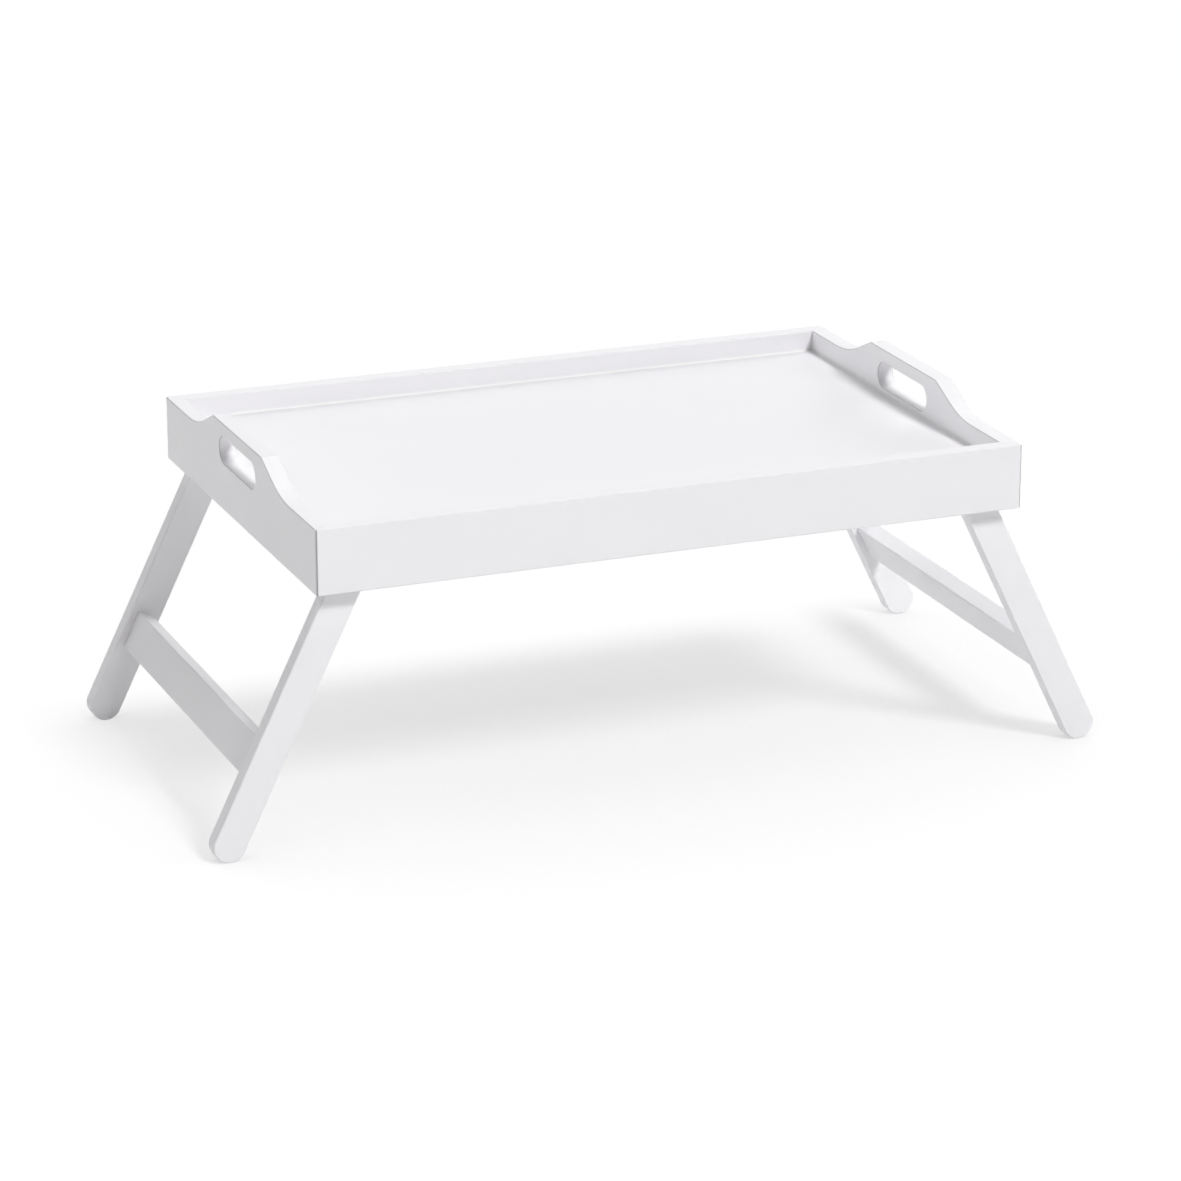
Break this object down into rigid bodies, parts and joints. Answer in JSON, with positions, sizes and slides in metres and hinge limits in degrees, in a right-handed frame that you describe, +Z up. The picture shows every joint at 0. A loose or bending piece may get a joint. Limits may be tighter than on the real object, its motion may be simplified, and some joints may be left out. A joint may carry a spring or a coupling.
{
  "type": "bed tray table",
  "caption": "Shallow white bed tray table with a raised rim, a swept handle with a rounded hand slot at each end, and splayed round-footed leg frames that fold flat under the floor.",
  "frame": {"origin": "on the ground under the middle of the tray", "axes": "+X along the tray's long side, +Y to the rear, +Z up"},
  "size_m": [0.6368, 0.325, 0.24],
  "materials": {
    "white_lacquer": "satin white lacquer on medium-density fibreboard",
    "beech": "bare planed beech",
    "zinc_steel": "bright zinc plate",
    "nylon": "natural nylon"
  },
  "bodies": {
    "tray": {"front_long_panel": "white_lacquer", "rear_long_panel": "white_lacquer", "left_end_panel": "white_lacquer", "right_end_panel": "white_lacquer", "tray_floor": "white_lacquer", "corner_spline_front_left": "beech", "corner_spline_front_right": "beech", "corner_spline_rear_left": "beech", "corner_spline_rear_right": "beech", "pivot_screw_left_front": "zinc_steel", "pivot_screw_left_rear": "zinc_steel", "pivot_screw_right_front": "zinc_steel", "pivot_screw_right_rear": "zinc_steel", "head_washer_left_front": "zinc_steel", "head_washer_left_rear": "zinc_steel", "head_washer_right_front": "zinc_steel", "head_washer_right_rear": "zinc_steel", "spacer_washer_left_front": "nylon", "spacer_washer_left_rear": "nylon", "spacer_washer_right_front": "nylon", "spacer_washer_right_rear": "nylon"},
    "left_legs": {"left_front_leg": "white_lacquer", "left_rear_leg": "white_lacquer", "left_stretcher": "white_lacquer", "left_dowels": "beech"},
    "right_legs": {"right_front_leg": "white_lacquer", "right_rear_leg": "white_lacquer", "right_stretcher": "white_lacquer", "right_dowels": "beech"}
  },
  "joints": [
    {"name": "left_legs_fold", "type": "hinge", "parent": "tray", "child": "left_legs", "pos_m": [-0.21938, 0, 0.1915], "axis": [0, -1, 0], "range_deg": [0, 116]},
    {"name": "right_legs_fold", "type": "hinge", "parent": "tray", "child": "right_legs", "pos_m": [0.21938, 0, 0.1915], "axis": [0, 1, 0], "range_deg": [0, 116]}
  ]
}
